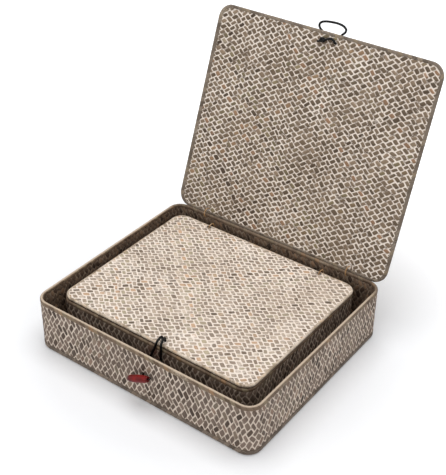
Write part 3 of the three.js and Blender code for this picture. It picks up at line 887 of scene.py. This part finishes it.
# How far under the rim's top the fold starts outside, and ends inside
fold_outside, fold_inside = 0.0030, 0.0040
rim_wraps = {"wrap_pitch": 0.0076, "slant": 0.55, "ridge": 0.00022}
foot_wraps = {"wrap_pitch": 0.0080, "slant": 0.7, "ridge": 0.0003}
foot_radius = foot_height * 0.8
foot_tuck = 0.0004
foot_thickness = 0.0009
hem_dyes = [(0.0, 98, 79, 62), (0.3, 123, 103, 85), (0.6, 135, 115, 95), (0.85, 133, 118, 95), (0.96, 158, 124, 92)]
hem_finishes = {
    "outer": folded_seagrass(
        "folded_outer_rim", hem_dyes, shade(200, 184, 164), chalked=0.1, painted_top_highlight=shade(213, 194, 172)),
    "inner": folded_seagrass("folded_inner_rim", hem_dyes, shade(170, 154, 136), chalked=0.05),
}
foot_dyes = [(0.0, 94, 82, 71), (0.4, 118, 105, 93), (0.8, 132, 118, 105), (0.95, 140, 122, 105)]
foot_finish = folded_seagrass("folded_foot", foot_dyes, shade(176, 160, 142), chalked=0.1)

for box, seed in zip(BOXES, (15, 16)):
    plan, floor, rim = tray_plan[box], tray_floor[box], rim_level[box]
    middle = wall_depth / 2
    centre, hem_end = (middle, rim - middle), rim - hem_depth[box]
    profile = [(hem_tuck, hem_end), (0.0, hem_end + hem_lip), (0.0, rim - fold_outside)]
    profile += bent(centre, middle, 0, 180, 11)
    profile += [(wall_depth, rim - fold_inside), (wall_depth - hem_thickness, rim - fold_inside)]
    profile += bent(centre, middle - hem_thickness, 180, 0, 7) + [(hem_thickness, hem_end)]
    hem = make_mesh(f"{box}_tray_rim", *swept_band(plan, profile, seed=seed, **rim_wraps))
    finish_piece(hem, [hem_finishes[box]], f"{box}_tray", "plaited_lining")
    profile = [(0.0, floor + foot_reach + foot_tuck), (0.0, floor + 0.5 * (foot_reach + foot_height))]
    profile += bent((foot_radius, floor + foot_radius), foot_radius, 0, -90, 8)
    profile += [(foot_height + foot_tuck, floor), (foot_height + foot_tuck, floor + foot_thickness)]
    profile += [(foot_thickness, floor + foot_height), (foot_thickness, floor + foot_reach)]
    foot = make_mesh(f"{box}_tray_foot", *swept_band(plan, profile, seed=seed + 20, **foot_wraps))
    finish_piece(foot, [foot_finish], f"{box}_tray", "plaited_mat")

# The wires
# A ring of bright drawn steel wire stiffens each rim and each lid.
# It is hidden in the fold of the strips, which hold it.


def drawn_wire():
    """Bright wire with drawing marks, gone brown in a few places."""
    finish = Finish("drawn_steel_wire", Metallic=1.0)
    rust = finish.spread(finish.noise(60.0, 4.0), 0.55, 0.7)
    roughness = finish.spread(finish.noise(600.0, 3.0), 0, 1, 0.25, 0.5)
    return finish.wear(finish.blended(rust, shade(150, 150, 152), shade(118, 104, 90)), roughness)


wire_finish = drawn_wire()
for box in BOXES:
    for wire in (f"{box}_rim_wire", f"{box}_lid_wire"):
        frame["nodes"][wire].data.materials.clear()
        frame["nodes"][wire].data.materials.append(wire_finish)

# The lids' skins and panels
# Each lid is two mats, back to back: a skin outside, heavily whitewashed, and a panel inside.
# Both are glued together, and the elastic and the ties go through them.

lid_setback = 0.002
# The open lid has slipped back a little on its slack ties.
lid_slip = {"outer": 0.002, "inner": 0.0}
roll_radius = lid_thickness / 2
lid_hem = 0.0044
skin_inset, panel_inset = roll_radius + 0.0004, lid_hem - 0.0003
# The outer lid's inner hem is wider on the left.
left_hem_spare = {"outer": 0.0026, "inner": 0.0}
lid_tie_hole_radius = 0.0020
hole_spare = 0.0002
lid_slack = 0.14
lid_plan = {}
for box in BOXES:
    half_width, half_depth = tray_plan[box].half
    lid_plan[box] = Plan(
        (-half_width, lid_setback - 2 * half_depth), (half_width, lid_slip[box]), tray_corner[box])

skin_dyes = [
    (0.0, 118, 102, 86), (0.08, 148, 131, 114), (0.4, 166, 149, 132), (0.75, 188, 170, 153), (0.9, 170, 157, 133),
    (0.965, 192, 160, 132),
]
panel_dyes = [
    (0.0, 70, 55, 42), (0.06, 103, 87, 70), (0.42, 117, 100, 82), (0.75, 131, 113, 94), (0.9, 124, 111, 85),
    (0.965, 150, 118, 92),
]
skin_finishes = [
    seagrass(
        "seagrass_lid_outside", skin_dyes, shade(255, 243, 231), shade(212, 193, 176),
        edged=1.0, chalked=0.45, painted_end_shade=0.75),
    whitewash_bed("whitewash_between_lid_strips", shade(252, 240, 228), shade(150, 130, 110), 0.3),
]
panel_finishes = [
    seagrass(
        "seagrass_lid_inside", panel_dyes, shade(255, 244, 232), shade(184, 167, 150),
        edged=0.8, chalked=0.15, painted_end_shade=0.7),
    whitewash_bed("whitewash_between_panel_strips", shade(250, 238, 226), shade(96, 79, 64), 0.55),
]


def lid_face(box, plan, inset, level, upward, seed):
    """The strips on one face of a lid, in the lid's own frame, with its holes, moved to where the lid is."""
    ends = (loop_routes[box][0], loop_routes[box][-1])
    holes = [((across, -lid_depth[box] - beyond, level), elastic_diameter / 2) for across, beyond, _ in ends]
    tie_reach = math.sqrt(tie_radius ** 2 - level ** 2)
    middle = hinges[box]["pos_m"][0]
    holes += [((tie[0] - middle, -tie_reach, level), lid_tie_hole_radius) for tie in tie_places[box]]
    sheets = flat_strips(plan, inset, level, upward, seed, slack=lid_slack)
    mat, points, faces, bed_points, bed_faces = with_holes(sheets, holes, hole_spare)
    return mat, put_on_lid(box, points), faces, put_on_lid(box, bed_points), bed_faces


for box, seed in zip(BOXES, (41, 42)):
    plan = lid_plan[box]
    skin = plaited_piece(f"{box}_lid_outside", *lid_face(box, plan, skin_inset, face_level, True, seed))
    finish_piece(skin, skin_finishes, f"{box}_lid", "lid_skin", f"{box}_lid_skin")
    plan = Plan((plan.low[0] + left_hem_spare[box], plan.low[1]), plan.high, plan.radius)
    panel = plaited_piece(f"{box}_lid_inside", *lid_face(box, plan, panel_inset, lid_lift, False, seed + 20))
    finish_piece(panel, panel_finishes, f"{box}_lid", "lid_panel", f"{box}_lid_panel")

# The lids' rolled edges
# The skin's strips are folded over the wire all round, and are glued down inside as a narrow hem.
# The outer lid's hem is given darker colours with little whitewash, and the inner lid's pale colours thick with
# whitewash.

edge_wraps = {"wrap_pitch": 0.0072, "slant": 0.8, "ridge": 0.00025}
# The hem lies flat from one inset on, and its edge is bevelled. Only what lies further in is wider on the left.
flat_from, wide_from = 0.0032, 0.0036
bevel_in, bevel_up = 0.0004, 0.0003
edge_dyes = {
    "outer": [(0.0, 98, 86, 74), (0.35, 120, 107, 94), (0.7, 132, 119, 105), (0.93, 140, 124, 103)],
    "inner": [(0.0, 150, 130, 108), (0.3, 184, 165, 142), (0.7, 202, 184, 160), (0.95, 206, 176, 142)],
}
edge_chalks = {
    "outer": {"chalk": shade(176, 164, 150), "chalked": 0.15, "seam_dark": 0.3},
    "inner": {"chalk": shade(236, 222, 206), "chalked": 0.6, "seam_dark": 0.25},
}

for box, seed in zip(BOXES, (51, 52)):
    centre = (roll_radius, lid_lift + roll_radius)
    profile = [(lid_hem, lid_lift + hem_thickness), (lid_hem, lid_lift + bevel_up), (lid_hem - bevel_in, lid_lift)]
    profile += [(flat_from, lid_lift)] + bent(centre, roll_radius, -90, 115, 14)
    profile += bent(centre, roll_radius - hem_thickness, 115, -90, 9)
    points, faces, values = swept_band(
        lid_plan[box], profile, seed=seed, left_spare=left_hem_spare[box], spare_from=wide_from, **edge_wraps)
    edge = make_mesh(f"{box}_lid_edge", put_on_lid(box, points), faces, values)
    edge_finish = folded_seagrass(f"folded_{box}_lid_edge", edge_dyes[box], **edge_chalks[box])
    finish_piece(edge, [edge_finish], f"{box}_lid", "lid_skin")

# The toggle beads
# A barrel of turned wood, bored from end to end, dipped in dark red lacquer and polished.
# It hangs on its cord in front of the wall, a little off level.

bead_length, bead_radius, bead_bore = 0.035, 0.0050, 0.0009
bead_standoff = {"outer": 0.0089, "inner": 0.0104}
bead_tilt = {"outer": math.radians(25.5), "inner": math.radians(12)}
bead_sides, bead_uneven = 56, 0.006
# The bore's mouth is rounded off in one small step.
mouth_round, mouth_step = 0.0006, 0.0001
# How far out along half the bead, and its radius there, both as shares
bead_shares = [(0, 1), (0.2, 0.996), (0.4, 0.98), (0.7, 0.91), (0.88, 0.8), (0.97, 0.66), (1, 0.5)]


def toggle_axes(box):
    """Along the bead, into the wall and across."""
    along, rise = math.cos(bead_tilt[box]), math.sin(bead_tilt[box])
    return np.array([(along, 0.0, rise), (0.0, 1.0, 0.0), (-rise, 0.0, along)])


def put_on_wall(box, points):
    """Points along the bead, into the wall and across, moved to where the toggle hangs."""
    return toggle_mouth[box] + np.asarray(points) @ toggle_axes(box)


def red_lacquer():
    """Dark red lacquer, pooled a little darker round the ends, with fine dust and turning lines under the gloss."""
    finish = Finish("dark_red_lacquer", Specular_IOR_Level=0.15, Coat_Weight=0.12, Coat_Roughness=0.05)
    pool, dust = finish.noise(90.0, 3.0), finish.noise(1500.0, 2.0)
    lines = finish.math("SINE", finish.math("MULTIPLY", finish.layer("along"), 9000.0))
    colour = finish.row(pool, [(0.3, 82, 5, 4), (0.5, 112, 9, 8), (0.72, 140, 18, 14)])
    near_end = finish.spread(finish.layer("end_share"), 0.8, 1.0, 0.0, 0.75)
    colour = finish.blended(near_end, colour, shade(64, 4, 4))
    roughness = finish.spread(dust, 0, 1, 0.2, 0.42)
    return finish.wear(colour, roughness, finish.total(pool, (lines, 0.15)), 0.0001, 0.35)


bead_finish = red_lacquer()

for box in BOXES:
    end = bead_length / 2
    half = smooth_line([(a * end, r * bead_radius, 0) for a, r in bead_shares], 6)[:, :2]
    mouth = [(end - mouth_step, bead_bore + mouth_round), (end - mouth_round, bead_bore + mouth_step)]
    inside = [(x, bead_bore) for x in np.linspace(end - 2 * mouth_round, 0, 8)[:-1]]
    right = np.vstack([half, mouth, inside])
    left = right[::-1] * (-1, 1)
    profile = np.vstack([right, [(0, bead_bore)], left[:-1]])
    angles = np.linspace(0, 2 * math.pi, bead_sides, endpoint=False)
    uneven = 1 + bead_uneven * np.sin(2 * angles + 0.7)
    along = np.repeat(profile[:, 0], bead_sides)
    into, across = (np.outer(profile[:, 1], way(angles) * uneven).ravel() for way in (np.cos, np.sin))
    rings = np.stack([along, into - bead_standoff[box], across], -1)
    faces = grid_faces(len(profile) + 1, bead_sides, closed_columns=True) % len(rings)
    bead = make_mesh(f"{box}_bead", put_on_wall(box, rings), [faces], {
        "along": along, "end_share": np.abs(along) / end})
    finish_piece(bead, [bead_finish], f"{box}_toggle", "red_bead", f"{box}_toggle_bead")

# The toggles' cords
# A thin black cord comes out of one hole, passes behind the bead to one end, runs through it and goes back in.
# Its ends are knotted inside the wall.

toggle_cord_diameter = 0.0012
cord_bend = 0.0024
bead_end_clear = 0.0014
cord_clear = 0.0003
cord_knot_half = (0.0028, 0.0028, 0.0020)

for box in BOXES:
    standoff = bead_standoff[box]
    strand = (toggle_cord_diameter + cord_clear) / 2
    behind = standoff - bead_radius - cord_clear - toggle_cord_diameter / 2
    end = bead_length / 2 + bead_end_clear
    half = np.array([
        (strand, -wall_depth), (strand, 0), (strand, behind - cord_bend),
        (strand + 0.3 * cord_bend, behind - 0.3 * cord_bend), (strand + cord_bend, behind),
        (0.45 * bead_length, behind + 0.25 * bead_radius), (end, behind + 0.6 * bead_radius),
        (end + 0.8 * cord_bend, standoff - 0.4 * cord_bend), (end, standoff),
        (0.4 * bead_length, standoff), (0.2 * bead_length, standoff),
    ])
    stations = np.vstack([half * (-1, -1), [(0, -standoff)], half[::-1] * (1, -1)])
    line = smooth_line(put_on_wall(box, np.column_stack([stations, np.zeros(len(stations))])), 6)
    black_cord(f"{box}_bead_cord", line, toggle_cord_diameter, 12, f"{box}_toggle", f"{box}_toggle_cord")
    knot_middle = toggle_mouth[box] + (0, wall_depth + cord_clear + cord_knot_half[2], 0)
    line = knotted(knot_middle, cord_knot_half, toggle_cord_diameter, toggle_axes(box)[[0, 2, 1]])
    black_cord(f"{box}_bead_cord_knot", line, toggle_cord_diameter, 12, f"{box}_toggle", f"{box}_toggle_knot")

# The floor and the light
# The box stands on a white sweep in a bright studio. A broad soft lamp hangs over it, and weaker ones
# stand in front and on the right.

floor_half = 3.0
floor_corners = [(x * floor_half, y * floor_half, 0) for x, y in ((-1, -1), (1, -1), (1, 1), (-1, 1))]
floor_mesh = bpy.data.meshes.new("white_sweep")
floor_mesh.from_pydata(floor_corners, [], [(0, 1, 2, 3)])
sweep = bpy.data.objects.new("white_sweep", floor_mesh)
bpy.context.scene.collection.objects.link(sweep)
white = (1, 1, 1, 1)
paper = Finish(
    "white_paper", Base_Color=(0.86, 0.87, 0.89, 1), Roughness=0.9, Specular_IOR_Level=0.0, Emission_Color=white)
# Painted shadow: the floor glows for the camera so that it looks white, but less near the box, which paints a darker
# ring round it.
far_out = paper.node("VectorMath", {0: paper.place}, operation="LENGTH")["Value"]
white_glow_and_painted_shadow = paper.math("MULTIPLY", paper.node("LightPath")["Is Camera Ray"], paper.spread(far_out, 0.22, 0.6, 0.11, 0.6))
paper.tree.links.new(white_glow_and_painted_shadow, paper.shader.inputs["Emission Strength"])
sweep.data.materials.append(paper.material)

world = bpy.data.worlds.new("studio")
bpy.context.scene.world = world
world.use_nodes = True
studio = Nodes(world.node_tree)
seen = studio.node("LightPath")
direct = studio.math("MAXIMUM", seen["Is Camera Ray"], studio.math(
    "MAXIMUM", seen["Is Glossy Ray"], seen["Is Transmission Ray"]))
backdrop = world.node_tree.nodes["Background"]
backdrop.inputs["Color"].default_value = white
world.node_tree.links.new(studio.spread(direct, 0, 1, 0.5, 1.0), backdrop.inputs["Strength"])

# Each lamp's place, what it is aimed at, its width and height, and its power
lamps = {
    "top_softbox": ((0.0, 0.1, 1.9), (0, 0.1, 0.1), (1.6, 1.2), 19.5),
    "front_softbox": ((-0.4, -1.9, 0.8), (0, 0, 0.15), (1.8, 0.9), 6.5),
    "right_softbox": ((1.5, -0.2, 0.8), (0, 0, 0.1), (0.9, 0.9), 1.2),
}
for name, (place, aim, size, power) in lamps.items():
    lamp = bpy.data.lights.new(name, "AREA")
    lamp.shape = "RECTANGLE"
    lamp.size, lamp.size_y = size
    lamp.energy = power
    put_aimed(name, lamp, place, aim)

bpy.context.scene.view_settings.view_transform = "Standard"
